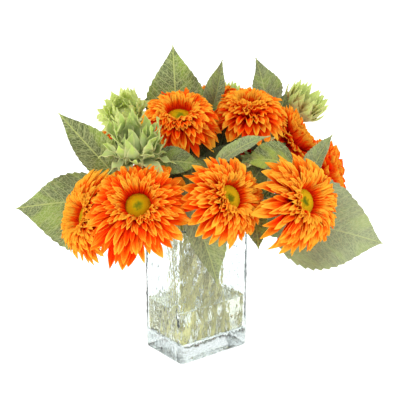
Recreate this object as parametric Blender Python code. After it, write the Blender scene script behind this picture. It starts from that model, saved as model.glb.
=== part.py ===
"""Orange sunflowers, green buds and leaves standing in a rectangular glass vase of water.

Metres, +Z up. The origin is the middle of the vase's underside, on the surface it stands on.
The front of the arrangement looks along -Y. The vase is turned about Z, corner to the front.

Each flower is three pieces: a leafy stem with its calyx, a ring of petals in layers, and a
disc. A bud is one piece with its stem. The stems cross the vase in a slow twist, as in a
bunch tied by hand, stand on the glass floor, and pass the water in plain holes.
"""
import math
import random

import bmesh
import bpy
from mathutils import Vector

# Vase and water
VASE_WIDTH = 0.102
VASE_DEPTH = 0.075
VASE_HEIGHT = 0.165
VASE_TURN = math.radians(37.6)
WALL = 0.0045
FLOOR = 0.021
CORNER_RADIUS = 0.009
CORNER_STEPS = 3
FOOT_ROUND = 0.003
RIM_ROUND = 0.001
WATER_LEVEL = 0.064

# Where one piece touches the next
GAP = 0.0003

# Stems
STEM_RADIUS = 0.0035
STEM_SIDES = 6
STEM_STEPS = 6
MOUTH_HEIGHT = VASE_HEIGHT
MOUTH_SPREAD = (0.036, 0.0235)
FOOT_SPREAD = (0.037, 0.0245)
TWIST = math.radians(78.0)
OUTER_SEATS = 12
INNER_SEATS = 4
INNER_RING = 0.42
INNER_SHIFT = 0.9
FIRST_SEAT = math.radians(-154.0) - VASE_TURN
RISE = 0.045
NECK = 0.030
NECK_LIFT = Vector((0.0, 0.0, 0.004))

# Flowers. A layer of petals is its reach in the bloom's radius, the height of its tips
# above the disc's underside, and the share of the bloom's droop that it takes.
BLADE = 0.0008
DISC_RADIUS = 0.0137
HUB_RADIUS = 0.0135
HUB_LOW = -0.0105
HUB_TOP = 0.0035
FULL_LAYERS = [(1.00, -0.009, 1.0), (0.93, 0.000, 0.6), (0.76, 0.008, 0.0), (0.55, 0.013, 0.0)]
SIMPLE_LAYERS = [(1.00, -0.009, 1.0), (0.86, 0.002, 0.4), (0.60, 0.012, 0.0)]
FULL_PETALS = 11
SIMPLE_PETALS = 10
PETAL_NOTCH = 0.66
TIP_REACH = (0.93, 1.05)
TIP_TURN = 0.22
TIP_RISE = 0.0012

# The disc: its side wall, then rings of florets with their radius, height and bumps
DISC_SIDES = 9
DISC_EDGE = 0.0016
FLORET_RINGS = [(0.0098, 0.0042), (0.0052, 0.0052)]
FLORET_BUMP = 0.0004
BUMP_STEP = 2.2

# The calyx behind a bloom
SEPALS = 7
SEPAL_REACH = 0.62
SEPAL_NOTCH = 0.62
SEPAL_DROP = 0.003
CALYX_DEPTH = 0.012
CALYX_WAIST = 0.010

# A bud of size 1: reach and height of each layer's tips, radius and height of its root
BRACTS = 8
BRACT_NOTCH = 0.60
BRACT_LAYERS = [
    (0.0240, 0.0060, 0.0110, 0.0060),
    (0.0225, 0.0165, 0.0106, 0.0100),
    (0.0165, 0.0250, 0.0083, 0.0150),
]
BUD_CUP = (0.0110, 0.0020)
BUD_CORE = (0.0040, 0.0225)
BUD_NECK = 0.004

# Leaves: teeth on each edge, half the size of the stalk, and the blade's outline
TEETH = 5
STALK_HALF = 0.0016
STALK_END = (0.0019, 0.0011)
TIP_HALF = 0.0012
WIDEST = 0.60
SHOULDER = 0.72
TAPER = 0.5
TOOTH_OUT = 1.05
TOOTH_IN = 0.94
EDGE_LIFT = 0.16
EDGE_WAVE = 0.03
WAVE_STEP = 1.9

# Seeds of the random draws
BLOOM_SEED = 100
BUD_SEED = 200
LEAF_SEED = 300

# Edges sharper than this stay crisp
SHARP_ANGLE = math.radians(40.0)

# What a Boolean leaves behind: edges shorter than this, and faces this near to flat
SCRAP = 0.00005
FLAT_ANGLE = math.radians(0.5)

# Colours
ORANGE = (0.93, 0.235, 0.012, 1.0)
MUSTARD = (0.62, 0.40, 0.02, 1.0)
LEAF_GREEN = (0.20, 0.30, 0.11, 1.0)
BUD_GREEN = (0.34, 0.47, 0.20, 1.0)
GLASS = (0.90, 0.96, 0.96, 1.0)
WATER = (0.92, 0.97, 0.97, 1.0)

# name, seat in the vase, centre of the disc's underside, turn and lift of its axis in
# degrees, radius, droop of the outer petals, and whether it has only three layers.
# A turn of 0 faces the front and +90 faces +X.
BLOOMS = [
    ("flower_top_left", "i3", (-0.019, -0.030, 0.290), -2, 66, 0.048, 0.016, False),
    ("flower_top_right", "i0", (0.059, 0.000, 0.291), 8, 75, 0.043, 0.013, False),
    ("flower_upper_right", "i1", (0.118, 0.036, 0.250), 66, 36, 0.044, 0.010, True),
    ("flower_front_left", "o2", (-0.060, -0.132, 0.220), -6, 36, 0.055, 0.012, False),
    ("flower_far_left", "o0", (-0.124, -0.048, 0.180), -62, 20, 0.052, 0.008, False),
    ("flower_front_middle", "o3", (0.034, -0.120, 0.225), 38, 27, 0.050, 0.008, False),
    ("flower_front_right", "o4", (0.114, -0.105, 0.216), 44, 22, 0.056, 0.006, False),
    ("flower_far_right", "o5", (0.151, -0.004, 0.216), 74, 14, 0.043, 0.007, True),
    ("flower_top_back", "i2", (0.024, 0.084, 0.280), 172, 62, 0.043, 0.012, True),
    ("flower_back_left", "o10", (-0.098, 0.058, 0.232), -118, 28, 0.046, 0.008, True),
    ("flower_back_right", "o7", (0.082, 0.112, 0.203), 150, 22, 0.047, 0.008, True),
    ("flower_back_middle", "o9", (-0.032, 0.124, 0.220), -168, 26, 0.048, 0.008, True),
]

# name, seat, centre of the base, turn and lift in degrees, size
BUDS = [
    ("bud_left", "o11", (-0.084, 0.013, 0.278), -12, 40, 1.35),
    ("bud_front", "o1", (-0.064, -0.084, 0.262), -8, 70, 1.65),
    ("bud_right", "o6", (0.128, 0.100, 0.262), 66, 52, 1.3),
    ("bud_back", "o8", (0.036, 0.140, 0.268), 172, 62, 1.0),
]

# stem, height on it from 0 at the mouth to 1 at the head, base of the blade, tip, width,
# the side that its upper face looks to, arch
LEAVES = [
    ("flower_top_left", 0.50, (-0.022, 0.030, 0.258), (-0.027, 0.036, 0.359), 0.076,
     (0.0, -1.0, 0.15), 0.006),
    ("bud_left", 0.45, (-0.094, -0.006, 0.217), (-0.156, -0.004, 0.289), 0.048,
     (-0.1, -0.9, 0.4), 0.006),
    ("flower_far_left", 0.50, (-0.104, 0.030, 0.175), (-0.213, 0.018, 0.168), 0.072,
     (-0.1, -0.85, 0.5), 0.008),
    ("flower_top_back", 0.60, (0.018, 0.038, 0.282), (0.029, 0.048, 0.334), 0.030,
     (0.3, -0.9, 0.2), 0.004),
    ("flower_top_right", 0.75, (0.082, 0.052, 0.280), (0.070, 0.054, 0.341), 0.038,
     (0.5, -0.8, 0.2), 0.006),
    ("flower_far_right", 0.70, (0.128, -0.043, 0.229), (0.152, -0.028, 0.257), 0.024,
     (-0.5, -0.7, 0.5), 0.003),
    ("flower_front_middle", 0.60, (0.028, -0.070, 0.251), (0.080, -0.060, 0.276), 0.022,
     (-0.3, -0.6, 0.7), 0.006),
    ("flower_front_right", 0.62, (0.104, -0.050, 0.239), (0.052, -0.066, 0.248), 0.050,
     (0.0, -0.6, 0.8), 0.009),
    ("flower_front_right", 0.40, (0.103, -0.054, 0.177), (0.208, -0.062, 0.153), 0.098,
     (0.15, -0.85, 0.5), 0.010),
    ("flower_front_middle", 0.45, (0.062, -0.080, 0.196), (0.067, -0.106, 0.163), 0.026,
     (0.2, -0.9, 0.3), 0.003),
    ("flower_front_left", 0.40, (-0.012, -0.076, 0.216), (0.024, -0.066, 0.103), 0.040,
     (0.35, -0.9, 0.1), 0.010),
    ("flower_top_left", 0.70, (-0.002, -0.046, 0.248), (-0.009, -0.084, 0.222), 0.036,
     (0.1, -0.6, 0.8), 0.006),
    ("flower_top_right", 0.45, (0.022, -0.034, 0.222), (0.044, -0.038, 0.264), 0.050,
     (0.0, -0.9, 0.4), 0.006),
    ("flower_back_left", 0.40, (-0.078, 0.074, 0.172), (-0.168, 0.116, 0.164), 0.078,
     (-0.2, 0.3, 0.9), 0.014),
    ("flower_back_middle", 0.35, (0.012, 0.096, 0.164), (0.018, 0.180, 0.140), 0.060,
     (0.1, 0.4, 0.9), 0.014),
    ("bud_back", 0.60, (0.026, 0.124, 0.220), (-0.008, 0.166, 0.242), 0.050,
     (-0.2, 0.5, 0.8), 0.008),
    ("flower_top_back", 0.60, (0.064, 0.070, 0.232), (0.088, 0.112, 0.246), 0.040,
     (0.3, 0.3, 0.9), 0.006),
    ("flower_back_right", 0.40, (0.112, 0.054, 0.168), (0.194, 0.084, 0.158), 0.070,
     (0.2, 0.2, 0.9), 0.014),
]


def clear_scene():
    """Start from an empty scene."""
    for obj in list(bpy.data.objects):
        bpy.data.objects.remove(obj, do_unlink=True)


def material(name, colour, roughness, transmission=0.0):
    """A plain Principled material."""
    mat = bpy.data.materials.get(name) or bpy.data.materials.new(name)
    mat.use_nodes = True
    shader = mat.node_tree.nodes["Principled BSDF"]
    shader.inputs["Base Color"].default_value = colour
    shader.inputs["Roughness"].default_value = roughness
    shader.inputs["Metallic"].default_value = 0.0
    shader.inputs["Transmission Weight"].default_value = transmission
    mat.diffuse_color = colour
    return mat


def add_object(name, mesh, mat):
    """Link a mesh to the scene with its material."""
    obj = bpy.data.objects.new(name, mesh)
    obj.data.materials.append(mat)
    bpy.context.scene.collection.objects.link(obj)
    return obj


def frame_of(direction, hint=Vector((0.0, 0.0, 1.0))):
    """Two unit vectors square to a direction, the second one on the hint's side."""
    side = hint.cross(direction).normalized()
    return side, direction.cross(side)


def axis_of(turn, lift):
    """The unit vector that a flower faces."""
    turn = math.radians(turn)
    lift = math.radians(lift)
    flat = math.cos(lift)
    return Vector((math.sin(turn) * flat, -math.cos(turn) * flat, math.sin(lift)))


def finished(bm, name):
    """The mesh of a bmesh, which is then freed."""
    mesh = bpy.data.meshes.new(name)
    bm.to_mesh(mesh)
    bm.free()
    return mesh


def skin(rings, name):
    """Close a stack of rings of equal length into one solid.

    Rings run anticlockwise seen from the last one.
    """
    bm = bmesh.new()
    verts = [[bm.verts.new(p) for p in ring] for ring in rings]
    for low, high in zip(verts, verts[1:]):
        for j in range(len(low)):
            k = (j + 1) % len(low)
            bm.faces.new((low[j], low[k], high[k], high[j]))
    bm.faces.new(verts[0][::-1])
    bm.faces.new(verts[-1])
    return finished(bm, name)


def split_skin(rings, name):
    """Like skin, for rings that wave: split into triangles, alike on both faces of a blade.

    Diagonals start at the even columns of the ring nearer the axis.
    """
    bm = bmesh.new()
    verts = [[bm.verts.new(p) for p in ring] for ring in rings]
    for i in range(len(rings) - 1):
        inner_first = mean_radius(rings[i]) <= mean_radius(rings[i + 1])
        for j in range(len(rings[i])):
            k = (j + 1) % len(rings[i])
            a, b, c, d = verts[i][j], verts[i][k], verts[i + 1][k], verts[i + 1][j]
            corners = (a, b, c, d) if (j % 2 == 0) == inner_first else (b, c, d, a)
            quad(bm, *corners, False)
    for loop in (verts[0][::-1], verts[-1]):
        for i in range(1, len(loop) - 1):
            bm.faces.new((loop[0], loop[i], loop[i + 1]))
    return finished(bm, name)


def mean_radius(ring):
    """How far a ring lies from its own middle, on average."""
    middle = sum(ring, Vector()) / len(ring)
    return sum((p - middle).length for p in ring) / len(ring)


def placed(rings, centre, axis):
    """Move rings from a flower's own frame, z along its axis, to the world."""
    side, up = frame_of(axis)
    return [[centre + side * p.x + up * p.y + axis * p.z for p in ring] for ring in rings]


def round_ring(radius, height, count, phase=0.0):
    """A circle of points in a flower's own frame."""
    step = 2.0 * math.pi / count
    return [
        Vector((radius * math.cos(phase + step * j), radius * math.sin(phase + step * j), height))
        for j in range(count)
    ]


def star_ring(tip, valley, height, valley_height, count, tips_on, jitter):
    """A ring whose even or odd columns reach out to petal tips."""
    ring = []
    step = 2.0 * math.pi / count
    for j in range(count):
        if j % 2 == tips_on:
            reach, turn, rise = jitter[j // 2]
            angle = step * (j + turn)
            ring.append(Vector((tip * reach * math.cos(angle),
                                tip * reach * math.sin(angle),
                                height + rise)))
        else:
            ring.append(Vector((valley * math.cos(step * j),
                                valley * math.sin(step * j),
                                valley_height)))
    return ring


def blade_layer(tip, tip_height, root_height, count, tips_on, rng, notch):
    """The under and upper outline of one layer of petals."""
    valley = tip * notch
    share = (valley - HUB_RADIUS) / (tip - HUB_RADIUS)
    valley_height = root_height + (tip_height - root_height) * share
    jitter = [
        (rng.uniform(*TIP_REACH), rng.uniform(-TIP_TURN, TIP_TURN), rng.uniform(-TIP_RISE, TIP_RISE))
        for _ in range(count // 2)
    ]
    under = star_ring(tip, valley, tip_height, valley_height, count, tips_on, jitter)
    upper = [p + Vector((0.0, 0.0, BLADE)) for p in under]
    return under, upper


def petal_rings(radius, droop, simple, rng):
    """Rings of a bloom: layers of petals on a hub, with a well for the disc on top.

    The disc's underside is at height 0. The outer layer is the lowest and hangs back.
    """
    layers = SIMPLE_LAYERS if simple else FULL_LAYERS
    count = 2 * (SIMPLE_PETALS if simple else FULL_PETALS)
    step = (HUB_TOP - HUB_LOW) / len(layers)
    rings = [round_ring(HUB_RADIUS, HUB_LOW, count)]
    for layer, (reach, height, share) in enumerate(layers):
        low = HUB_LOW + step * layer
        tip_height = height - share * droop
        under, upper = blade_layer(
            radius * reach, tip_height, low + 0.4 * step, count, layer % 2, rng, PETAL_NOTCH
        )
        rings += [under, upper, round_ring(HUB_RADIUS + 4 * GAP, low + step, count)]
    rings.append(round_ring(DISC_RADIUS + 1.5 * GAP, -GAP, count))
    return rings


def disc_rings():
    """A low dome of florets, bumpy by a formula."""
    rings = [
        round_ring(DISC_RADIUS, 0.0, DISC_SIDES),
        round_ring(DISC_RADIUS, DISC_EDGE, DISC_SIDES),
    ]
    for radius, height in FLORET_RINGS:
        ring = round_ring(radius, height, DISC_SIDES, math.pi / DISC_SIDES)
        for j, point in enumerate(ring):
            point.z += FLORET_BUMP * math.sin(BUMP_STEP * j)
        rings.append(ring)
    return rings


def calyx_rings(radius, droop, rng):
    """Rings of the green cup of sepals behind a bloom, just below its lowest petals."""
    count = 2 * SEPALS
    top = HUB_LOW - GAP
    tip = radius * SEPAL_REACH
    slope = (droop + 0.002) / (radius - HUB_RADIUS)
    tip_height = top - SEPAL_DROP - slope * (tip - HUB_RADIUS)
    under, upper = blade_layer(
        tip, tip_height - BLADE, top - SEPAL_DROP, count, 0, rng, SEPAL_NOTCH
    )
    return [
        round_ring(STEM_RADIUS, top - CALYX_DEPTH, count),
        round_ring(CALYX_WAIST, top - 0.6 * CALYX_DEPTH, count),
        under,
        upper,
        round_ring(HUB_RADIUS - 0.001, top, count),
    ]


def bud_rings(size, rng):
    """Rings of a half-open bud: pointed bracts in layers round a closed core."""
    count = 2 * BRACTS
    rings = [
        round_ring(STEM_RADIUS, -BUD_NECK, count),
        round_ring(BUD_CUP[0] * size, BUD_CUP[1] * size, count),
    ]
    for layer, (tip, tip_height, root, root_height) in enumerate(BRACT_LAYERS):
        under, upper = blade_layer(
            tip * size, tip_height * size, (root_height - 0.002) * size, count, layer % 2, rng,
            BRACT_NOTCH,
        )
        rings += [under, upper, round_ring(root * size, root_height * size, count)]
    rings.append(round_ring(BUD_CORE[0] * size, BUD_CORE[1] * size, count))
    return rings


def seat_points(seat):
    """Foot on the vase floor and place at the mouth of one stem."""
    number = int(seat[1:])
    if seat[0] == "o":
        angle = FIRST_SEAT + 2.0 * math.pi * number / OUTER_SEATS
        ring = 1.0
    else:
        angle = FIRST_SEAT + 2.0 * math.pi * (number + INNER_SHIFT) / INNER_SEATS
        ring = INNER_RING
    foot = vase_point(ring, angle - TWIST, FOOT_SPREAD, FLOOR + GAP)
    mouth = vase_point(ring, angle, MOUTH_SPREAD, MOUTH_HEIGHT)
    return foot, mouth


def vase_point(ring, angle, spread, height):
    """A point inside the vase, by ring and angle in the vase's own frame."""
    return turned(ring * spread[0] * math.cos(angle), ring * spread[1] * math.sin(angle), height)


def bezier(points, t):
    """A point on a cubic curve."""
    a, b, c, d = points
    s = 1.0 - t
    return a * s ** 3 + b * (3 * s * s * t) + c * (3 * s * t * t) + d * t ** 3


def stem_curve(seat, head, axis):
    """The four points of a stem's curve from the mouth of the vase to its head."""
    foot, mouth = seat_points(seat)
    up = (mouth - foot).normalized()
    return mouth, mouth + up * RISE, head - axis * NECK + NECK_LIFT, head


def stem_route(seat, head, axis):
    """The points down the middle of a stem, foot first."""
    foot, mouth = seat_points(seat)
    curve = stem_curve(seat, head, axis)
    return [foot] + [bezier(curve, i / STEM_STEPS) for i in range(STEM_STEPS + 1)]


def along(route, height):
    """A point on the middle of a stem, by height from 0 at the mouth to 1 at the head."""
    place = height * STEM_STEPS
    step = min(int(place), STEM_STEPS - 1)
    return route[1 + step].lerp(route[2 + step], place - step)


def tube(points, radius, name):
    """A round tube along a route, closed at both ends, its first end level."""
    rings = []
    side = Vector((1.0, 0.0, 0.0))
    step = 2.0 * math.pi / STEM_SIDES
    last = len(points) - 1
    for i, point in enumerate(points):
        ahead = (points[min(i + 1, last)] - points[max(i - 1, 0)]).normalized()
        if i == 0:
            ahead = Vector((0.0, 0.0, 1.0))
        across = ahead.cross(side).normalized()
        side = across.cross(ahead).normalized()
        rings.append([
            point + side * (radius * math.cos(step * j)) + across * (radius * math.sin(step * j))
            for j in range(STEM_SIDES)
        ])
    return split_skin(rings, name)


def leaf_stations(root, base, tip, width, facing, arch):
    """Middle, half width and half thickness along a leaf, from inside the stem to the tip."""
    bend = (base + tip) / 2.0 + facing * (2.0 * arch)
    stations = [(root, STALK_HALF, STALK_HALF), (base, *STALK_END)]
    for i in range(1, 2 * TEETH):
        u = i / (2.0 * TEETH)
        out = math.sin(math.pi * u ** WIDEST) ** (SHOULDER + TAPER * u)
        tooth = TOOTH_OUT if i % 2 else TOOTH_IN
        middle = base * (1 - u) ** 2 + bend * (2 * u * (1 - u)) + tip * u ** 2
        stations.append((middle, 0.5 * width * out * tooth, BLADE / 2.0))
    stations.append((tip, TIP_HALF, BLADE / 2.0))
    return stations


def leaf_mesh(root, base, tip, width, facing, arch, rng):
    """A toothed leaf with its stalk: a thin arched blade, folded along the midrib.

    The stalk starts inside the stem. Each station has a left, a middle and a right point,
    above and below, so both faces are split alike.
    """
    facing = Vector(facing).normalized()
    length = (tip - base).length
    stations = leaf_stations(root, base, tip, width, facing, arch)
    last = len(stations) - 1
    bm = bmesh.new()
    rows = []
    for i, (point, half, thick) in enumerate(stations):
        ahead = (stations[min(i + 1, last)][0] - stations[max(i - 1, 0)][0]).normalized()
        side = ahead.cross(facing).normalized()
        up = side.cross(ahead).normalized()
        wave = 0.0
        if 1 < i < last:
            wave = EDGE_WAVE * length * math.sin(WAVE_STEP * i + rng.uniform(-0.4, 0.4))
        left = point - side * half + up * (EDGE_LIFT * half + wave * half / width)
        right = point + side * half + up * (EDGE_LIFT * half - wave * half / width)
        rows.append([
            [bm.verts.new(p + up * thick) for p in (left, point, right)],
            [bm.verts.new(p - up * thick) for p in (left, point, right)],
        ])
    for (top_a, low_a), (top_b, low_b) in zip(rows, rows[1:]):
        for outer, flip in ((0, True), (2, False)):
            quad(bm, top_a[1], top_a[outer], top_b[outer], top_b[1], flip)
            quad(bm, low_a[1], low_a[outer], low_b[outer], low_b[1], not flip)
        quad(bm, top_a[0], low_a[0], low_b[0], top_b[0], True)
        quad(bm, top_a[2], low_a[2], low_b[2], top_b[2], False)
    for (top, low), flip in ((rows[0], True), (rows[-1], False)):
        quad(bm, top[0], low[0], low[1], top[1], flip)
        quad(bm, top[1], low[1], low[2], top[2], flip)
    bmesh.ops.recalc_face_normals(bm, faces=bm.faces)
    return finished(bm, "leaf")


def quad(bm, a, b, c, d, flip):
    """Two triangles that share the diagonal from a to c."""
    for face in ((a, b, c), (a, c, d)):
        bm.faces.new(face[::-1] if flip else face)


def clear_scraps(mesh):
    """Take the tiny edges and slivers that a Boolean leaves out of a mesh."""
    bm = bmesh.new()
    bm.from_mesh(mesh)
    bmesh.ops.remove_doubles(bm, verts=bm.verts, dist=SCRAP)
    bmesh.ops.dissolve_limit(bm, angle_limit=FLAT_ANGLE, verts=bm.verts, edges=bm.edges)
    bmesh.ops.dissolve_degenerate(bm, dist=SCRAP, edges=bm.edges)
    bmesh.ops.triangulate(bm, faces=bm.faces)
    bm.to_mesh(mesh)
    bm.free()


def joined(base, parts, operation, solver):
    """Apply one Boolean with a collection of parts to an object, and drop the parts."""
    group = bpy.data.collections.new("parts_of_" + base.name)
    for part in parts:
        group.objects.link(part)
    cut = base.modifiers.new("join", "BOOLEAN")
    cut.operation = operation
    cut.solver = solver
    cut.operand_type = "COLLECTION"
    cut.collection = group
    bpy.context.view_layer.update()
    seen = base.evaluated_get(bpy.context.evaluated_depsgraph_get())
    mesh = bpy.data.meshes.new_from_object(seen)
    clear_scraps(mesh)
    base.modifiers.clear()
    base.data = mesh
    for part in parts:
        bpy.data.objects.remove(part, do_unlink=True)
    bpy.data.collections.remove(group)


def build_leafy_stem(name, route, top, mat):
    """A stem fused with what is on its end and with the leaves that grow on it.

    The MANIFOLD solver joins them, because EXACT leaves open edges round the leaf stalks.
    """
    stem = add_object(name, tube(route, STEM_RADIUS, name), mat)
    parts = [add_object("top", top, mat)]
    owner = name.removesuffix("_stem")
    for number, (stem_name, height, base, tip, width, facing, arch) in enumerate(LEAVES):
        if stem_name != owner:
            continue
        rng = random.Random(LEAF_SEED + number)
        mesh = leaf_mesh(
            along(route, height), Vector(base), Vector(tip), width, facing, arch, rng
        )
        parts.append(add_object("leaf_%d" % number, mesh, mat))
    joined(stem, parts, "UNION", "MANIFOLD")


def build_bloom(number, name, seat, centre, turn, lift, radius, droop, simple):
    """One sunflower: petals, disc, and the leafy stem with its calyx."""
    rng = random.Random(BLOOM_SEED + number)
    centre = Vector(centre)
    axis = axis_of(turn, lift)
    petals = placed(petal_rings(radius, droop, simple, rng), centre, axis)
    orange = material("orange petals", ORANGE, 0.7)
    add_object(name + "_petals", split_skin(petals, name), orange)
    disc = placed(disc_rings(), centre, axis)
    add_object(name + "_disc", split_skin(disc, name), material("mustard disc", MUSTARD, 0.8))
    calyx = split_skin(placed(calyx_rings(radius, droop, rng), centre, axis), "calyx")
    route = stem_route(seat, centre + axis * (HUB_LOW - 0.5 * CALYX_DEPTH), axis)
    build_leafy_stem(name + "_stem", route, calyx, material("green stem", LEAF_GREEN, 0.65))
    return route


def build_bud(number, name, seat, centre, turn, lift, size):
    """One bud with its leafy stem."""
    rng = random.Random(BUD_SEED + number)
    centre = Vector(centre)
    axis = axis_of(turn, lift)
    bracts = split_skin(placed(bud_rings(size, rng), centre, axis), "bracts")
    route = stem_route(seat, centre + axis * BUD_NECK, axis)
    build_leafy_stem(name, route, bracts, material("green bud", BUD_GREEN, 0.7))
    return route


def turned(x, y, height):
    """A point of the vase's own plan, turned as the vase is."""
    cos_turn, sin_turn = math.cos(VASE_TURN), math.sin(VASE_TURN)
    return Vector((x * cos_turn - y * sin_turn, x * sin_turn + y * cos_turn, height))


def vase_ring(inset, height):
    """A rectangle with round corners, at a distance in from the vase's outer face."""
    radius = CORNER_RADIUS - inset
    half_x = VASE_WIDTH / 2.0 - CORNER_RADIUS
    half_y = VASE_DEPTH / 2.0 - CORNER_RADIUS
    ring = []
    for corner in range(4):
        sign_x = 1.0 if corner in (0, 3) else -1.0
        sign_y = 1.0 if corner in (0, 1) else -1.0
        for i in range(CORNER_STEPS + 1):
            angle = (corner + i / CORNER_STEPS) * math.pi / 2.0
            x = sign_x * half_x + radius * math.cos(angle)
            y = sign_y * half_y + radius * math.sin(angle)
            ring.append(turned(x, y, height))
    return ring


def build_vase():
    """The thick-floored glass vase."""
    rings = [
        vase_ring(FOOT_ROUND, 0.0),
        vase_ring(0.3 * FOOT_ROUND, 0.3 * FOOT_ROUND),
        vase_ring(0.0, FOOT_ROUND),
        vase_ring(0.0, VASE_HEIGHT - RIM_ROUND),
        vase_ring(RIM_ROUND, VASE_HEIGHT),
        vase_ring(WALL - RIM_ROUND, VASE_HEIGHT),
        vase_ring(WALL, VASE_HEIGHT - RIM_ROUND),
        vase_ring(WALL, FLOOR + FOOT_ROUND),
        vase_ring(WALL + FOOT_ROUND, FLOOR),
    ]
    add_object("vase", skin(rings, "vase"), material("clear glass", GLASS, 0.05, 1.0))


def build_water(routes):
    """The water, with a plain hole for each stem."""
    inset = WALL + GAP
    rings = [
        vase_ring(inset + FOOT_ROUND, FLOOR + GAP),
        vase_ring(inset, FLOOR + FOOT_ROUND + GAP),
        vase_ring(inset, WATER_LEVEL),
    ]
    clear = material("water", WATER, 0.0, 1.0)
    water = add_object("water", skin(rings, "water"), clear)
    holes = []
    for number, (foot, mouth, *_) in enumerate(routes):
        below = foot + (foot - mouth) * 0.05
        mesh = tube([below, mouth], STEM_RADIUS + 2.0 * GAP, "hole")
        holes.append(add_object("hole_%d" % number, mesh, clear))
    joined(water, holes, "DIFFERENCE", "EXACT")


def shade():
    """Shade round surfaces smooth and keep the edges of blades and rims crisp."""
    for obj in bpy.data.objects:
        obj.data.shade_smooth()
        obj.data.set_sharp_from_angle(angle=SHARP_ANGLE)


def main():
    clear_scene()
    build_vase()
    routes = [build_bloom(number, *bloom) for number, bloom in enumerate(BLOOMS)]
    routes += [build_bud(number, *bud) for number, bud in enumerate(BUDS)]
    build_water(routes)
    shade()


main()
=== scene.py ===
"""Looks of the sunflowers in a glass vase: petals, florets, leaves, buds, glass and water.

Metres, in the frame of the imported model. Places of blooms come from its nodes. The vase, stems,
leaves and two of the buds repeat the named values that the model was made from.
"""

import math
import random

import bpy
import numpy as np
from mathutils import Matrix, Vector, noise


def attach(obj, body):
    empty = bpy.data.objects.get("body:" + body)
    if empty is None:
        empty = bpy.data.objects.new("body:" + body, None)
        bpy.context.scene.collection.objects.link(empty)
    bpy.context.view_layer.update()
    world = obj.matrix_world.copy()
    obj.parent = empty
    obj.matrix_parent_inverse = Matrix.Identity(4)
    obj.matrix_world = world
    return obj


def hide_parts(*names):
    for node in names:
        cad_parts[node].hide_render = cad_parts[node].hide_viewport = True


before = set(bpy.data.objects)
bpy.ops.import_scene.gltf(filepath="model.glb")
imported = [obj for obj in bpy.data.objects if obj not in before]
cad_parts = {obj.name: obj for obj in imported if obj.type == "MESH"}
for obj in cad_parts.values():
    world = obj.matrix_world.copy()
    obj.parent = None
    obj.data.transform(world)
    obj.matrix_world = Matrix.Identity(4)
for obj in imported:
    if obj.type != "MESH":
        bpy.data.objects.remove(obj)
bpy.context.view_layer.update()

MM = 0.001
TURN = 2.0 * math.pi
# About one turn, for chance angles of sepals, bracts and waves of leaves
ROUND = 6.28
# The chance numbers of each piece start from its row number and one of these
BLOOM_SEED, BUD_SEED, LEAF_SEED, MORE_LEAF_SEED = 100, 200, 300, 400

# Vase and water, as in the model
VASE_WIDTH = 0.102
VASE_DEPTH = 0.075
VASE_HEIGHT = 0.165
VASE_TURN = math.radians(37.6)
WALL = 0.0045
FLOOR = 0.021
CORNER_RADIUS = 0.009
WATER_LEVEL = 0.064

# Stems, as in the model
STEM_RADIUS = 0.0035
MOUTH_SPREAD = (0.036, 0.0235)
FOOT_SPREAD = (0.037, 0.0245)
TWIST = math.radians(78.0)
OUTER_SEATS = 12
INNER_SEATS = 4
INNER_RING = 0.42
INNER_SHIFT = 0.9
FIRST_SEAT = math.radians(-154.0) - VASE_TURN
RISE = 0.045
NECK = 0.03
NECK_LIFT = 0.004
HUB_LOW = -0.0105
CALYX_DEPTH = 0.012
DISC_RADIUS = 0.0137
# Points along each half of a stem, in the vase and above it
STEM_STEPS = 22

# Blooms: name after flower_ and seat in the vase, as in the model; then the look: how much redder
# and darker than the rest, partly the bloom's own colour and partly painted shade, width of all
# petals and of the outer ones, and where and how much the outer ones are longer (angle in degrees, share)
BLOOMS = [
    ("top_left", "i3", (0.48, 1, 1, -90, -0.09)),
    ("top_right", "i0", (0.3, 1, 1, -8, 0.15)),
    ("upper_right", "i1", (0.3, 0.85, 0.9, 0, -0.45)),
    ("front_left", "o2", (0.65, 1, 1.15, -125, 0.27)),
    ("far_left", "o0", (-0.1, 0.88, 0.9, 92, 0.2)),
    ("front_middle", "o3", (0.2, 1, 0.9, 0, 0)),
    ("front_right", "o4", (0.05, 1, 1.15, 205, 0.16)),
    ("far_right", "o5", (0.75, 1.5, 1, 0, 0)),
    ("top_back", "i2", (0.6, 1, 1, 0, 0)),
    ("back_left", "o10", (0.4, 1, 1, 0, 0)),
    ("back_right", "o7", (0.3, 1, 1, 0, 0)),
    ("back_middle", "o9", (0.2, 1, 1, 0, 0)),
]

# Buds: name, seat, centre of the base in mm, turn and lift in degrees, size. bud_front and
# bud_back are as in the model; the other two stand a little aside
BUDS = [
    ("bud_left", "o11", (-81, 13, 279), -10, 44, 1.4),
    ("bud_front", "o1", (-64, -84, 262), -8, 70, 1.65),
    ("bud_right", "o6", (122.5, 100, 263.5), 56, 56, 1.34),
    ("bud_back", "o8", (36, 140, 268), 172, 62, 1),
]
BUD_NECK = 0.004
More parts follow.
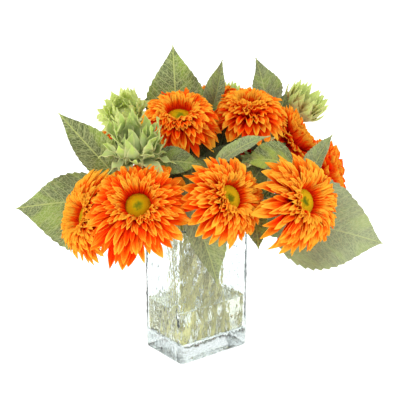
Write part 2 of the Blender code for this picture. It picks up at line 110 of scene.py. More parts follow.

# Leaves: stem, height on it, base and tip of the blade in mm, width, the side that the upper
# face looks to, arch; as in the model, but for three tips that lie up to 12 mm aside. Then the
# look: fold along the middle, grey-green (above 0) or yellow-green (below 0), how much painted
# shade darkens it deep in the bunch (1) or not, and for some the bend of the tip and the width of
# the two sides
LEAVES = [
    ("top_left", 0.5, (-22, 30, 258), (-27, 36, 359), 76, (0, -1, 0.15), 6, (0.1, 0, 0, 0.02, 0.94, 0.95)),
    ("bud_left", 0.45, (-94, -6, 217), (-156, -4, 289), 48, (-0.1, -0.9, 0.4), 6,
     (0.16, 0, 0, 0, 0.79, 1.03)),
    ("far_left", 0.5, (-104, 30, 175), (-213, 18, 168), 72, (-0.1, -0.85, 0.5), 8,
     (0.14, 0.3, 0, 0, 1.8, 0.97)),
    ("top_back", 0.6, (18, 38, 282), (29, 48, 340), 30, (0.3, -0.9, 0.2), 4,
     (0.6, 0.3, 0, 0.05, 1.5, 0.62)),
    ("top_right", 0.75, (82, 52, 280), (66, 54, 341), 38, (0.5, -0.8, 0.2), 6,
     (0.3, 0.35, 0.15, 0.08, 1.15, 1.2)),
    ("far_right", 0.7, (128, -43, 229), (153, -28, 269), 24, (-0.5, -0.7, 0.5), 3,
     (0.5, 0.8, 0, 0.05, 1.2, 1)),
    ("front_middle", 0.6, (28, -70, 251), (80, -60, 276), 22, (-0.3, -0.6, 0.7), 6, (0.4, 0.7, 0)),
    ("front_right", 0.62, (104, -50, 239), (52, -66, 248), 50, (0, -0.6, 0.8), 9, (0.2, -1, 0)),
    ("front_right", 0.4, (103, -54, 177), (208, -62, 153), 98, (0.15, -0.85, 0.5), 10,
     (0.12, 1.6, 0, 0, 1.09, 1.05)),
    ("front_middle", 0.45, (62, -80, 196), (67, -106, 163), 26, (0.2, -0.9, 0.3), 3,
     (0.2, -0.7, 0, 0, 1, 1.15)),
    ("front_left", 0.4, (-12, -76, 216), (24, -66, 103), 40, (0.35, -0.9, 0.1), 10,
     (0.3, 1, 0, 0, 1.35, 0.95)),
    ("top_left", 0.7, (-2, -46, 248), (-9, -84, 222), 36, (0.1, -0.6, 0.8), 6, (0.2, 0, 0.6)),
    ("top_right", 0.45, (22, -34, 222), (44, -38, 264), 50, (0, -0.9, 0.4), 6, (0.25, 0, 0.95)),
    ("back_left", 0.4, (-78, 74, 172), (-168, 116, 164), 78, (-0.2, 0.3, 0.9), 14, (0.16, 0, 0)),
    ("back_middle", 0.35, (12, 96, 164), (18, 180, 140), 60, (0.1, 0.4, 0.9), 14, (0.16, 0, 0)),
    ("bud_back", 0.6, (26, 124, 220), (-8, 166, 242), 50, (-0.2, 0.5, 0.8), 8, (0.16, 0, 0)),
    ("top_back", 0.6, (64, 70, 232), (88, 112, 246), 40, (0.3, 0.3, 0.9), 6, (0.16, 0, 0)),
    ("back_right", 0.4, (112, 54, 168), (194, 84, 158), 70, (0.2, 0.2, 0.9), 14, (0.16, 0, 0)),
]
# More leaves that fill the bunch
MORE_LEAVES = [
    ("bud_front", 0.75, (-40, -75, 252), (5, -78, 249), 34, (0.1, -0.75, 0.6), 4, (0.15, 0, 0.3)),
    ("front_middle", 0.45, (50, -52, 204), (78, -62, 250), 40, (-0.1, -0.9, 0.3), 4, (0.2, 0, 0.6)),
    ("top_right", 0.4, (18, -4, 205), (34, -4, 280), 60, (0, -0.9, 0.3), 4, (0.2, 0, 0.95)),
    ("top_left", 0.35, (-6, -12, 200), (0, -18, 262), 52, (0, -0.9, 0.3), 4, (0.2, 0, 0.95)),
    ("front_right", 0.35, (96, -38, 158), (78, -44, 213), 36, (-0.1, -0.9, 0.3), 4, (0.2, -0.5, 0.3)),
    ("bud_right", 0.8, (96, 78, 258), (108, 82, 294), 24, (0, -0.9, 0.3), 3, (0.2, 0, 0.2)),
]

# Layers of petals, inner first: count, reach in the bloom's radius, share of the droop, slope at
# root and at tip in degrees; in mm: height of the tips, width, height of the roots
LAYERS = [
    (26, 0.4, 0, 80, 66, 15, 3.8, 1),
    (31, 0.46, 0, 78, 44, 16.2, 4.1, 0.6),
    (36, 0.53, 0, 74, 20, 16, 4.4, -0.2),
    (40, 0.61, 0, 70, 0, 14.5, 4.7, -1),
    (42, 0.69, 0, 64, -12, 11.8, 5, -2.2),
    (42, 0.78, 0, 56, -20, 8, 5.5, -3.6),
    (38, 0.86, 0.2, 45, -27, 3.8, 6.6, -5),
    (30, 0.94, 0.6, 30, -32, -1, 8.8, -6.6),
    (22, 0.99, 1, 12, -38, -8.5, 11.8, -8.6),
]
# Layers of blooms that open sideways: their petals stand forward like a cup
CUP_LAYERS = [
    (22, 0.4, 0, 84, 74, 11, 5, 1),
    (24, 0.52, 0, 78, 66, 12.4, 5.6, 0.4),
    (24, 0.64, 0, 70, 58, 13.2, 6.4, -0.6),
    (24, 0.75, 0, 62, 50, 13.6, 7.4, -1.8),
    (22, 0.84, 0, 52, 42, 12.8, 8.8, -3.4),
    (20, 0.91, 0, 40, 32, 10, 10.2, -5),
    (18, 0.96, 0, 28, 20, 5.6, 11.6, -6.6),
    (16, 0.99, 0.4, 14, 0, -0.4, 12.6, -8.4),
]
CUP_BLOOMS = ("upper_right", "far_right")
# From which layer on the petals are long and pointed
POINTED_FROM = 7
CUP_POINTED_FROM = 3
# How untidy the petals of the neat blooms are; in the others a share STRAY of the petals lies
# out of line and the rest is calmer
MESS = {"upper_right": 0.3, "far_right": 0.3, "far_left": 0.4}
STRAY = 0.18
CALM = 0.5
# On the front side of a bloom the petals next to the disc stand taller and lean over it: how
# much each layer does, how much taller, further in and steeper at the tip
LEANING = (1, 1, 1, 1, 0.75, 0.4)
CUP_LEANING = (1, 1, 1, 1, 1)
LEAN_RISE = 0.24
LEAN_IN = 0.2
CUP_LEAN_IN = 0.72
LEAN_TILT = 20.0
# The share of that lean in blooms whose disc lies open
LEAN_SHARES = {"far_left": 0.0, "top_left": 0.0, "front_right": 0.35}
# How much lighter the petals round the disc are painted: painted light in the recess that their steep
# walls shade
INNER_PAINTED_LIGHT = 0.9
INNER_LAYERS = 3
# The outer layers are longer or shorter on one side, and how narrow that side is. A bloom with
# a share under SHORT_THROUGHOUT is shorter there in all layers
STRETCHED_FROM = 5
LONGER_POWER = 4
SHORTER_POWER = 2
SHORT_THROUGHOUT = -0.2
PETAL_ROOT = 0.0138
OUTER_TIPS = LAYERS[-1][5] * MM
PETAL_THICKNESS = 0.00035

SHARP_ANGLE = math.radians(50.0)


# Meshes


def unit(vectors):
    """The same directions with length 1."""
    vectors = np.asarray(vectors, float)
    return vectors / (np.linalg.norm(vectors, axis=-1, keepdims=True) + 1e-12)


def swung(x, y, angle):
    """x and y turned by an angle about the origin."""
    cos_a, sin_a = math.cos(angle), math.sin(angle)
    return x * cos_a - y * sin_a, x * sin_a + y * cos_a


def bezier(a, b, c, d, t):
    """A cubic curve from a to d with handles b and c, at a share t or at a column of them."""
    s = 1.0 - t
    return a * s ** 3 + b * (3 * s * s * t) + c * (3 * s * t * t) + d * t ** 3


def new_object(name, data):
    """An object in the scene."""
    obj = bpy.data.objects.new(name, data)
    bpy.context.scene.collection.objects.link(obj)
    return obj


def add_piece(name, points, faces, mat, nodes, fields=None):
    """Make a mesh object, let it ride on the part and stand for CAD nodes."""
    mesh = bpy.data.meshes.new(name)
    mesh.from_pydata(points, [], faces)
    for field, values in (fields or {}).items():
        layer = mesh.attributes.new(field, "FLOAT", "POINT")
        layer.data.foreach_set("value", np.ascontiguousarray(values, np.float32).ravel())
    mesh.materials.append(mat)
    mesh.shade_smooth()
    mesh.set_sharp_from_angle(angle=SHARP_ANGLE)
    obj = new_object(name, mesh)
    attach(obj, "root")
    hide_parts(*nodes)


class Gather:
    """Collects points, faces and point fields of many small closed solids."""

    def __init__(self, *fields):
        self.points = []
        self.faces = []
        self.fields = {field: [] for field in fields}
        self.count = 0

    def add(self, points, faces, **values):
        """Add a solid. A field has one value for all points or a list of them."""
        points = np.asarray(points, float).reshape(-1, 3)
        self.points.append(points)
        self.faces += [[i + self.count for i in face] for face in faces]
        for field, store in self.fields.items():
            value = np.asarray(values.get(field, 0.0), float)
            store.append(np.broadcast_to(value, len(points)) if value.ndim == 0 else value)
        self.count += len(points)

    def sheet(self, grid, thickness, **values):
        """Add a thin closed sheet; along and edge are shares of its length and half width."""
        rows, columns = grid.shape[:2]
        normal = unit(np.cross(np.gradient(grid, axis=1), np.gradient(grid, axis=0)))
        half = normal * thickness / 2.0
        along = np.repeat(petal_steps(rows), columns)
        edge = np.tile(np.abs(np.linspace(-1.0, 1.0, columns)), rows)
        self.add([grid + half, grid - half], sheet_faces(rows, columns),
                 along=np.tile(along, 2), edge=np.tile(edge, 2), **values)

    def tube(self, route, radii, sides, **values):
        """Add a round tube along a route."""
        angles = np.linspace(0.0, TURN, sides, endpoint=False)
        side = np.array([1.0, 0.0, 0.0])
        rings = []
        for point, ahead, radius in zip(route, unit(np.gradient(route, axis=0)), radii):
            across = unit(np.cross(ahead, side))
            side = np.cross(across, ahead)
            rings.append(point + radius * (np.outer(np.cos(angles), side)
                                           + np.outer(np.sin(angles), across)))
        self.add(rings, skin_faces(len(route), sides), **values)

    def spin(self, place, profile, sides, **values):
        """Add a shape turned round a flower's axis, from (radius, height) pairs."""
        rings = place.world(turned_rings(profile, sides))
        self.add(rings, skin_faces(len(profile), sides), **values)

    def piece(self, name, mat, nodes):
        """Make one mesh object of all."""
        fields = {field: np.concatenate(store) for field, store in self.fields.items()}
        add_piece(name, np.concatenate(self.points), self.faces, mat, nodes, fields)


def sheet_faces(rows, columns):
    """Faces of a closed thin sheet: its upper grid, its lower grid and the wall between."""
    at = np.arange(rows * columns).reshape(rows, columns)
    upper = np.stack([at[:-1, :-1], at[:-1, 1:], at[1:, 1:], at[1:, :-1]], axis=-1).reshape(-1, 4)
    rim = np.concatenate([at[0], at[1:, -1], at[-1, -2::-1], at[-2:0:-1, 0]])
    after = np.roll(rim, -1)
    wall = np.stack([rim + at.size, after + at.size, after, rim], axis=1)
    return np.concatenate([upper, upper[:, ::-1] + at.size, wall]).tolist()


def skin_faces(rows, columns):
    """Faces that close a stack of rings: walls and two caps."""
    at = np.arange(rows * columns).reshape(rows, columns)
    after = np.roll(at, -1, axis=1)
    walls = np.stack([at[:-1], after[:-1], after[1:], at[1:]], axis=-1).reshape(-1, 4)
    return walls.tolist() + [at[0, ::-1].tolist(), at[-1].tolist()]


def turned_rings(profile, sides):
    """Rings of a turned shape in a flower's own frame, from (radius, height) pairs."""
    angles = np.linspace(0.0, TURN, sides, endpoint=False)
    return np.array([
        np.stack([r * np.cos(angles), r * np.sin(angles), np.full(sides, h)], axis=1)
        for r, h in profile
    ])


# Places


def axis_of(turn, lift):
    """The unit vector that a flower faces."""
    lift = math.radians(lift)
    return np.array([*swung(0.0, -math.cos(lift), math.radians(turn)), math.sin(lift)])


class Place:
    """A flower's own frame: a centre and an axis, with two directions square to it."""

    def __init__(self, centre, axis):
        self.centre = np.asarray(centre, float)
        self.axis = np.asarray(axis, float)
        self.side = unit(np.cross([0.0, 0.0, 1.0], self.axis))
        self.up = np.cross(self.axis, self.side)

    def world(self, points):
        """Points of the flower's frame in the model's."""
        return (self.centre + points[..., :1] * self.side + points[..., 1:2] * self.up
                + points[..., 2:] * self.axis)


def disc_place(node):
    """Where a bloom's disc sits: the middle and the normal of its flat underside."""
    areas = {}
    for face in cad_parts[node].data.polygons:
        key = tuple(round(c, 2) for c in face.normal)
        total, normal, middle = areas.get(key, (0.0, Vector(), Vector()))
        areas[key] = (total + face.area, normal + face.normal * face.area,
                      middle + face.center * face.area)
    total, normal, middle = max(areas.values(), key=lambda item: item[0])
    return Place(middle / total, -normal.normalized())


def turned(x, y, height):
    """A point of the vase's own plan, turned as the vase is."""
    return np.array([*swung(x, y, VASE_TURN), height])


def seat_points(seat):
    """Foot on the vase floor and place at the mouth of one stem."""
    number = int(seat[1:])
    if seat[0] == "o":
        angle, ring = FIRST_SEAT + TURN * number / OUTER_SEATS, 1.0
    else:
        angle, ring = FIRST_SEAT + TURN * (number + INNER_SHIFT) / INNER_SEATS, INNER_RING
    ends = ((angle - TWIST, FOOT_SPREAD, FLOOR), (angle, MOUTH_SPREAD, VASE_HEIGHT))
    return [turned(ring * wide * math.cos(a), ring * deep * math.sin(a), height)
            for a, (wide, deep), height in ends]


class Stem:
    """A stem: straight from its foot to the mouth of the vase, then bent to its head."""

    def __init__(self, seat, head, axis):
        self.foot, self.mouth = seat_points(seat)
        rise = self.mouth + unit(self.mouth - self.foot) * RISE
        neck = head - axis * NECK + np.array([0.0, 0.0, NECK_LIFT])
        self.above = (self.mouth, rise, neck, head)

    def point(self, t):
        """A point on the stem, from 0 at the mouth of the vase to 1 at its head."""
        return bezier(*self.above, t)

    def route(self):
        """Points up the middle of the stem, foot first."""
        inside = self.mouth - self.foot
        below = [self.foot + inside * i / STEM_STEPS for i in range(STEM_STEPS)]
        return below + [self.point(i / STEM_STEPS) for i in range(STEM_STEPS + 1)]


# Petals


def petal_outline(t):
    """Half width along a long petal as a share of its widest: narrow root, pointed tip."""
    swell = 0.38 + 0.62 * np.sin(0.5 * math.pi * np.minimum(t / 0.66, 1.0))
    point = 1.0 - np.clip((t - 0.62) / 0.38, 0.0, 1.0) ** 2.5
    return swell * np.maximum(point, 0.05)


def blunt_outline(t):
    """Half width along a short petal: its tip is rounder."""
    swell = 0.42 + 0.58 * np.sin(0.5 * math.pi * np.minimum(t / 0.76, 1.0))
    point = np.sqrt(1.0 - np.clip((t - 0.66) / 0.34, 0.0, 1.0) ** 2.4)
    return swell * np.maximum(point, 0.1)


def bract_outline(t):
    """Half width along a bract: broad root, long point."""
    swell = 0.6 + 0.4 * np.sin(0.5 * math.pi * np.minimum(t / 0.45, 1.0))
    return swell * np.maximum(1.0 - t ** 2.3, 0.03)


# Outline, range of lengths, rows and columns of the two kinds of petals
POINTED_PETAL = (petal_outline, (0.93, 1.02), (8, 5))
BLUNT_PETAL = (blunt_outline, (0.9, 1.04), (7, 5))
HUB_SIDES = 32
HUB_PROFILE = ((0.004, -0.01), (0.0125, -0.0104), (0.0138, -0.008), (0.0141, -0.003),
               (0.014, 0.001), (0.0136, 0.0012), (0.0134, -0.0004))


def petal_steps(rows):
    """Shares along a petal, closer together towards its tip."""
    return 1.0 - (1.0 - np.linspace(0.0, 1.0, rows)) ** 1.25


def petal_grid(root, tip, slopes, width, outline, angle, sway, roll, cup, size, ruffle=0.0):
    """The middle surface of one petal in the flower's own frame.

    root and tip are (radius, height), slopes the degrees there, size its rows and columns.
    """
    rows, columns = size
    t = petal_steps(rows)[:, None]
    root, tip = np.array([root, tip])
    start, end = (math.radians(slope) for slope in slopes)
    reach = np.linalg.norm(tip - root) * 0.42
    curve = bezier(root, root + reach * np.array([math.cos(start), math.sin(start)]),
                   tip - reach * np.array([math.cos(end), math.sin(end)]), tip, t)
    ahead = unit(np.gradient(curve, axis=0))
    v = np.linspace(1.0, -1.0, columns)[None, :]
    half = 0.5 * width * outline(t)
    lean = roll * t
    sideways = half * v * np.cos(lean) + sway * reach * t ** 2
    lift = half * v * np.sin(lean) + cup * half * (0.5 * v * v + 0.5 * np.abs(v) - 0.42)
    if ruffle:
        lift = lift + ruffle * half * v ** 2 * np.sin(13.0 * t + 4.0 * roll + 1.9 * np.sign(v))
    x, y = swung(curve[:, :1] - lift * ahead[:, 1:], sideways, angle)
    return np.stack([x, y, curve[:, 1:] + lift * ahead[:, :1]], axis=-1)


def toward(angle, side):
    """How much an angle looks to a side: 1 there, 0 from a quarter turn away."""
    return max(math.cos(angle - side), 0.0)


def build_petals(name, place, radius, droop, look, mat, rng):
    """All petals of a bloom on their hub."""
    redness_and_painted_shade, wide, wide_outer, stretch_angle, stretch = look
    stretch_side = math.radians(stretch_angle)
    power = LONGER_POWER if stretch > 0.0 else SHORTER_POWER
    front = math.atan2(-place.up[1], -place.side[1])
    cup = name in CUP_BLOOMS
    leaning, lean_in = (CUP_LEANING, CUP_LEAN_IN) if cup else (LEANING, LEAN_IN)
    gather = Gather("along", "edge", "tone", "red")
    for layer, row in enumerate(CUP_LAYERS if cup else LAYERS):
        count, reach, share, start, end, *sizes = row
        tip_height, width, root_height = (size * MM for size in sizes)
        pointed = layer >= (CUP_POINTED_FROM if cup else POINTED_FROM)
        outline_of, lengths, grid_size = POINTED_PETAL if pointed else BLUNT_PETAL
        broader = wide * (wide_outer if pointed else 1.0)
        count = int(count / math.sqrt(wide * broader))
        first = rng.uniform(0.0, TURN)
        for k in range(count):
            angle = first + TURN * (k + rng.uniform(-0.36, 0.36)) / count
            mess = MESS.get(name, 1.0 if rng.random() < STRAY else CALM)
            longer = rng.uniform(*lengths)
            if layer >= STRETCHED_FROM or stretch < SHORT_THROUGHOUT:
                longer += stretch * toward(angle, stretch_side) ** power
            lean = LEAN_SHARES.get(name, 1.0) * toward(angle, front)
            lean *= leaning[layer] if layer < len(leaning) else 0.0
            tip = (radius * reach * longer * (1.0 - lean_in * lean),
                   tip_height * (1.0 + LEAN_RISE * lean) * min(longer + 0.1, 1.0)
                   - share * droop + mess * rng.uniform(-0.0032, 0.0026))
            grid = petal_grid(
                (PETAL_ROOT, root_height + rng.uniform(-0.0006, 0.0006)), tip,
                (start + rng.uniform(-8, 8),
                 end + LEAN_TILT * lean + mess * rng.uniform(-38, 34)),
                width * broader * rng.uniform(0.8, 1.15), outline_of, angle,
                mess * rng.uniform(-0.75, 0.75), mess * rng.uniform(-1.1, 1.1),
                rng.uniform(0.5, 1.4), grid_size, mess * rng.uniform(0.0, 0.4),
            )
            gather.sheet(place.world(grid), PETAL_THICKNESS, tone=rng.random(),
                         # The petals round the disc are made lighter: painted light in the recess that
                         # they shade
                         red=redness_and_painted_shade - (INNER_PAINTED_LIGHT if layer < INNER_LAYERS else 0.0))
    gather.spin(place, HUB_PROFILE, HUB_SIDES, tone=0.5, red=redness_and_painted_shade)
    gather.piece("petals_" + name, mat, ["flower_%s_petals" % name])


FLORETS = 300
FLORET_SIDES = 5
FLORET_REACH = 0.985
FLORET_LEAN = 0.25
FLORET_DEPTH = 0.0004
FRESH_DISCS = ("front_middle", "front_right")
GOLDEN_ANGLE = math.pi * (3.0 - math.sqrt(5.0))
# Where the rings of the dome lie, as shares of its radius
DOME_SHARES = (1.0, 0.985, 0.95, 0.88, 0.78, 0.66, 0.54, 0.42, 0.3, 0.18, 0.08)
DOME_SIDES = 36


def disc_height(share):
    """Height of the disc's dome at a share of its radius."""
    return 0.0006 + 0.003 * (1.0 - share ** 2.4) - 0.001 * math.exp(-(share / 0.25) ** 2)


def build_disc(name, place, mat, rng):
    """A low dome covered with florets in a spiral."""
    gather = Gather("reach", "tone", "fresh")
    fresh = 1.0 if name in FRESH_DISCS else 0.0
    profile = [(DISC_RADIUS * 0.6, 0.0), (DISC_RADIUS - 0.0003, 0.0)]
    profile += [(DISC_RADIUS * share, disc_height(share)) for share in DOME_SHARES]
    reach = np.repeat([r / DISC_RADIUS for r, _ in profile], DOME_SIDES)
    gather.spin(place, profile, DOME_SIDES, reach=reach, tone=0.3, fresh=fresh)
    for k in range(FLORETS):
        share = math.sqrt((k + 0.5) / FLORETS) * FLORET_REACH
        size = DISC_RADIUS / math.sqrt(FLORETS) * (0.72 + 0.2 * share)
        height = 0.0007 + 0.0005 * share + rng.uniform(-0.0001, 0.0002)
        floret = [(size, 0.0), (size * 0.85, height * 0.7), (size * 0.35, height)]
        rings = turned_rings(floret, FLORET_SIDES)
        rings[..., 0] += share * (DISC_RADIUS + FLORET_LEAN * rings[..., 2])
        rings[..., 2] += disc_height(share) - FLORET_DEPTH
        rings[..., 0], rings[..., 1] = swung(rings[..., 0], rings[..., 1], k * GOLDEN_ANGLE)
        gather.add(place.world(rings), skin_faces(len(floret), FLORET_SIDES), reach=share,
                   tone=rng.random(), fresh=fresh)
    gather.piece("florets_" + name, mat, ["flower_%s_disc" % name])


# Green parts

# How thick a stem is at its foot, as a share of the rest, and how uneven it is
FOOT_SHARE = 0.72
STEM_UNEVEN = 0.05
STEM_SIDES = 12
CALYX_TOP = HUB_LOW - 0.0003
CALYX_SIDES = 28
# Radius of the calyx and depth below its top
CALYX_PROFILE = ((STEM_RADIUS, CALYX_DEPTH), (0.006, 0.0085), (0.0105, 0.0045),
                 (0.0128, 0.0015), (0.0125, 0.0))
# Layers of sepals: count, reach in the bloom's radius, drop of the tips
SEPALS = ((13, 0.6, 0.0035), (12, 0.5, 0.006))
SEPAL_ROOT = 0.0105
SEPAL_SIZE = (7, 5)
SEPAL_THICKNESS = 0.0005


def add_stem(gather, stem, rng):
    """A round, slightly uneven stem that is thinner in the vase."""
    route = stem.route()
    radii = [STEM_RADIUS * min(FOOT_SHARE + (1.0 - FOOT_SHARE) * i / STEM_STEPS, 1.0)
             * (1.0 + STEM_UNEVEN * math.sin(1.7 * i + rng.uniform(-0.6, 0.6)))
             for i in range(len(route))]
    gather.tube(route, radii, STEM_SIDES)


def build_calyx(gather, place, radius, droop, rng):
    """The green cup and two layers of pointed sepals behind a bloom."""
    profile = [(r, CALYX_TOP - depth) for r, depth in CALYX_PROFILE]
    gather.spin(place, profile, CALYX_SIDES, tone=0.5, sepal=1.0)
    slope = (droop + 0.004) / (radius - PETAL_ROOT)
    for count, reach, drop in SEPALS:
        first = rng.uniform(0.0, ROUND)
        for k in range(count):
            tip = radius * reach * rng.uniform(0.85, 1.03)
            low = CALYX_TOP - drop - slope * (tip - 0.0135) + rng.uniform(-0.002, 0.0)
            grid = petal_grid(
                (SEPAL_ROOT, CALYX_TOP - 0.0025), (tip, low), (-10, -28 + rng.uniform(-10, 6)),
                0.0105 * rng.uniform(0.85, 1.1), bract_outline,
                first + TURN * (k + rng.uniform(-0.2, 0.2)) / count,
                rng.uniform(-0.2, 0.2), rng.uniform(-0.3, 0.3), rng.uniform(0.1, 0.4), SEPAL_SIZE,
            )
            gather.sheet(place.world(grid), SEPAL_THICKNESS, tone=rng.random(), sepal=1.0)


# Leaves, large and small: teeth on a side, rows a tooth, columns
LARGE_LEAF = (14, 5, 21)
SMALL_LEAF = (7, 3, 9)
LEAF_THICKNESS = 0.0006
PLAIN_SHAPE = (0.0, 1.0, 1.0)
VEINS = 10.0
# Depth of the teeth in the half width; of the lobes at the base and of the waves in the length;
# and of the relief between the veins
TOOTH_DEPTH = 0.06
LOBE_DEPTH = 0.1
WAVE_DEPTH = 0.028
RELIEF = 0.0008
STALK_RADII = (0.0018, 0.0017, 0.0016, 0.0014, 0.0009)
STALK_SIDES = 8
# Where the small leaves grow, as shares of the stem above the vase
INNER_HEIGHTS = (0.26, 0.5)


def add_leaf(gather, root, base, tip, width, facing, arch, look, rng, size=LARGE_LEAF):
    """One toothed leaf with relief between its veins, on a stalk from inside its stem."""
    fold, pale, deep, *shape = look
    bend_tip, left, right = shape or PLAIN_SHAPE
    teeth, rows_per_tooth, columns = size
    facing = unit(facing)
    length = np.linalg.norm(tip - base)
    rows = teeth * rows_per_tooth + 1
    u = np.linspace(0.0, 1.0, rows)[:, None]
    v = np.linspace(-1.0, 1.0, columns)[None, :]
    bend = (base + tip) / 2.0 + facing * (2.0 * arch)
    middle = (base * (1 - u) ** 2 + bend * (2 * u * (1 - u)) + tip * u ** 2
              + facing * (bend_tip * length * u ** 4))
    ahead = unit(np.gradient(middle, axis=0))
    side = unit(np.cross(ahead, facing))
    up = np.cross(side, ahead)
    share = np.clip(u, 1e-4, 1.0 - 1e-4)
    half = 0.5 * width * np.sin(math.pi * share ** 0.6) ** (0.72 + 0.5 * share)
    half = np.maximum(half, 0.0006)
    tooth = 1.0 + TOOTH_DEPTH * ((u * teeth) % 1.0 - 0.4) * np.abs(v) ** 8
    across = half * v * tooth * np.where(v < 0, left, right)
    away = np.abs(across)
    lobe = LOBE_DEPTH * length * np.abs(v) ** 1.8 * np.exp(-((u / 0.16) ** 2))
    vein = VEINS * (u * length - 0.75 * away - 9.0 * away ** 2) / length + 0.5 * (v > 0)
    quilt = RELIEF * np.sin(math.pi * (vein % 1.0)) * np.minimum(np.abs(v) * 4.0, 1.0)
    shift = rng.uniform(0.0, ROUND)
    wave = WAVE_DEPTH * length * v ** 2 * np.sin(u * 11.0 + shift + 2.0 * np.sign(v))
    wave *= np.minimum(half / (0.2 * width), 1.0)
    lift = fold * away + quilt + wave
    squeeze = 1.0 / math.sqrt(1.0 + fold * fold)
    grid = (middle[:, None, :] + (across * squeeze)[..., None] * side[:, None, :]
            + (lift * squeeze)[..., None] * up[:, None, :] - lobe[..., None] * ahead[:, None, :])
    gather.sheet(grid, LEAF_THICKNESS, vein=np.tile(vein.ravel(), 2),
                 away=np.tile(across.ravel(), 2), rim=np.tile(np.abs(v).ravel(), 2 * rows),
                 under=np.repeat([0.0, 1.0], rows * columns), tone=rng.random(), pale=pale,
                 deep=deep)
    near = middle[max(rows // 9, 1)]
    stalk = [root, root * 0.6 + base * 0.4, root * 0.2 + base * 0.8, base * 0.9 + near * 0.1, near]
    gather.tube(stalk, STALK_RADII, STALK_SIDES, vein=0.3, away=0.0008, tone=0.5, deep=deep)


def add_inner_leaves(gather, stem, rng):
    """Small leaves low on a stem, which fill the middle of the bunch, darkened by painted shade."""
    for height in INNER_HEIGHTS:
        root = stem.point(height)
        above = unit(stem.point(height + 0.1) - root)
        turn = rng.uniform(0.0, TURN)
        flat = np.array([math.cos(turn), math.sin(turn), 0.0])
        ahead = unit(0.55 * above + flat)
        length = rng.uniform(0.036, 0.048)
        add_leaf(gather, root, root + ahead * 0.006, root + ahead * length, length * 0.62,
                 above - 0.6 * flat, 0.004, (0.2, 0.0, rng.uniform(0.6, 1.0)), rng, SMALL_LEAF)


def build_leaves(name, stem, mat, node):
    """The leaves of one stem, large ones by their rows and small ones low on it."""
    gather = Gather("vein", "away", "rim", "under", "tone", "pale", "deep")
    for seed, rows in ((LEAF_SEED, LEAVES), (MORE_LEAF_SEED, MORE_LEAVES)):
        for number, (owner, height, base, tip, width, facing, arch, look) in enumerate(rows, seed):
            if owner == name:
                base, tip = MM * np.array(base), MM * np.array(tip)
                add_leaf(gather, stem.point(height), base, tip, width * MM, facing, arch * MM,
                         look, random.Random(number))
    add_inner_leaves(gather, stem, random.Random("inner " + node.removesuffix("_stem")))
    gather.piece("leaves_" + name, mat, [node])


def build_bloom(number, name, seat, look, mats):
    """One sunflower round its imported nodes."""
    rng = random.Random(BLOOM_SEED + number)
    node = "flower_" + name
    place = disc_place(node + "_disc")
    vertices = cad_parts[node + "_petals"].data.vertices
    away = np.array([vertex.co[:] for vertex in vertices]) - place.centre
    radius = 0.97 * np.hypot(away @ place.side, away @ place.up).max()
    droop = OUTER_TIPS - (away @ place.axis).min()
    build_petals(name, place, radius, droop, look, mats["petals"], rng)
    build_disc(name, place, mats["disc"], rng)
    head = place.centre + place.axis * (HUB_LOW - 0.5 * CALYX_DEPTH)
    stem = Stem(seat, head, place.axis)
    gather = Gather("tone", "sepal")
    add_stem(gather, stem, rng)
    build_calyx(gather, place, radius, droop, rng)
    gather.piece("stem_" + name, mats["stem"], [node + "_stem"])
    build_leaves(name, stem, mats["leaf"], node + "_stem")


# Layers of a bud's bracts: count, slope at root and at tip in degrees; in mm: reach, height of
# the tips and of the roots, width
CROWN_BRACTS = [
    (9, 0, -34, 25, -4, 0.5, 12.5),
    (9, 22, 48, 20.5, 11.5, 1.5, 12.5),
    (10, 32, 70, 18.5, 18, 2.2, 12),
    (10, 44, 80, 16, 23.5, 3, 11.5),
    (9, 56, 88, 12.5, 26.2, 3.8, 10.5),
    (7, 68, 100, 8.5, 25, 4.8, 9.5),
]
OPEN_BRACTS = [
    (10, 2, -24, 26.2, -2, 0.5, 11.5),
    (11, 14, 24, 25.8, 7.5, 1, 12),
    (11, 28, 52, 22.5, 15, 2, 12),
    (10, 42, 80, 17, 19.5, 2.8, 11.5),
    (9, 54, 94, 12, 22.5, 3.6, 10.5),
    (8, 66, 100, 7.5, 22.5, 4.4, 9),
    (5, 80, 100, 3.5, 20, 5.2, 7.5),
]
CUP_BRACTS = [
    (10, 6, 72, 22.2, 17, 0.8, 16),
    (10, 18, 80, 21.2, 22.5, 1.8, 15.5),
    (9, 36, 84, 18.8, 26, 2.8, 14),
    (8, 52, 88, 14.5, 27.5, 3.8, 12.5),
    (6, 68, 96, 9, 25.5, 4.8, 10.5),
]
BRACT_ROOT = 0.0072
BRACT_SIZE = (12, 9)
BRACT_THICKNESS = 0.0005
CORE_SIDES = 24
# Radii and heights of the core above the neck
BUD_CORE = ((0.0085, 0.0), (0.0098, 0.003), (0.0082, 0.006), (0.0045, 0.008), (0.0015, 0.0085))
RUST_SIDE = math.pi
# The bracts of each bud, how untidy they are, how pale (for bud_left partly painted light on the bracts in
# its shaded cup) and how rusty
BUD_LOOKS = {
    "bud_left": (OPEN_BRACTS, 1.0, 1.1, 0.0),
    "bud_front": (CROWN_BRACTS, 1.2, 0.2, 0.0),
    "bud_right": (CUP_BRACTS, 0.45, 0.85, 0.8),
    "bud_back": (CROWN_BRACTS, 1.0, 0.3, 0.0),
}


